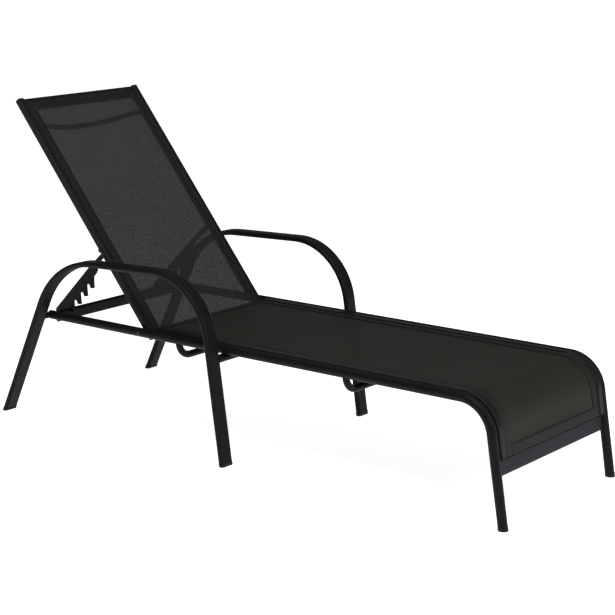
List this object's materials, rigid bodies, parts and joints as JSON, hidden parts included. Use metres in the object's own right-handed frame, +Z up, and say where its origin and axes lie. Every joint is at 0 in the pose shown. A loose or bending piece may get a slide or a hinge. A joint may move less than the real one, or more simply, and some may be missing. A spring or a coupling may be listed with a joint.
{
  "type": "reclining sun lounger",
  "caption": "Low steel sun lounger with a woven sling seat that bends down at the foot, looped armrests and a backrest that reclines on notched plates hooked over a cross bar.",
  "frame": {"origin": "on the floor, at the middle of the lounger's length and width in its locked upright position", "axes": "+X towards the foot end, +Y towards the sitter's left, +Z up"},
  "size_m": [1.7036, 0.6464, 0.9069],
  "materials": {
    "frame_paint": "charcoal powder coat, satin",
    "crossbar_paint": "charcoal powder coat, slightly blue",
    "sling_mesh": "coated polyester mesh, slightly open weave",
    "keder": "extruded rod in the hem",
    "black_plastic": "moulded, fine grain",
    "fastener": "black oxide",
    "nylon": "moulded"
  },
  "bodies": {
    "frame": {"arm_loop_left": "frame_paint", "arm_loop_right": "frame_paint", "foot_crossbar": "crossbar_paint", "front_brace": "frame_paint", "front_foot_left": "black_plastic", "front_foot_right": "black_plastic", "middle_cross_tube": "frame_paint", "middle_foot_left": "black_plastic", "middle_foot_right": "black_plastic", "pivot_bolt_left": "fastener", "pivot_bolt_right": "fastener", "pivot_nut_left": "fastener", "pivot_nut_right": "fastener", "pivot_washer_left": "nylon", "pivot_washer_right": "nylon", "ratchet_bar": "frame_paint", "rear_brace": "frame_paint", "rear_foot_left": "black_plastic", "rear_foot_right": "black_plastic", "rear_stub_left": "frame_paint", "rear_stub_right": "frame_paint", "seat_keder_left": "keder", "seat_keder_right": "keder", "seat_rail_left": "frame_paint", "seat_rail_right": "frame_paint", "seat_sling": "sling_mesh", "seat_sling_rail_left": "frame_paint", "seat_sling_rail_right": "frame_paint"},
    "backrest": {"back_bow": "frame_paint", "back_keder_left": "keder", "back_keder_right": "keder", "back_lower_cap_left": "black_plastic", "back_lower_cap_right": "black_plastic", "back_rail_left": "frame_paint", "back_rail_right": "frame_paint", "back_sling": "sling_mesh", "back_top_cap_left": "black_plastic", "back_top_cap_right": "black_plastic", "back_top_tube": "frame_paint", "ratchet_bolt_left": "fastener", "ratchet_bolt_right": "fastener", "ratchet_nut_left": "fastener", "ratchet_nut_right": "fastener", "ratchet_spacer_left": "nylon", "ratchet_spacer_right": "nylon"},
    "ratchet_left": {"ratchet_plate_left": "frame_paint"},
    "ratchet_right": {"ratchet_plate_right": "frame_paint"}
  },
  "joints": [
    {"name": "backrest_recline", "type": "hinge", "parent": "frame", "child": "backrest", "pos_m": [-0.3384, 0, 0.3012], "axis": [0, -1, 0], "range_deg": [0, 47]},
    {"name": "ratchet_left_swing", "type": "hinge", "parent": "backrest", "child": "ratchet_left", "pos_m": [-0.50687, 0.203, 0.50666], "axis": [0, 1, 0], "range_deg": [0, 93]},
    {"name": "ratchet_right_swing", "type": "hinge", "parent": "backrest", "child": "ratchet_right", "pos_m": [-0.50687, -0.203, 0.50666], "axis": [0, 1, 0], "range_deg": [0, 93]}
  ],
  "couplings": [
    {"joint": "ratchet_left_swing", "follows": "backrest_recline", "ratio": 1.965},
    {"joint": "ratchet_right_swing", "follows": "backrest_recline", "ratio": 1.965}
  ]
}
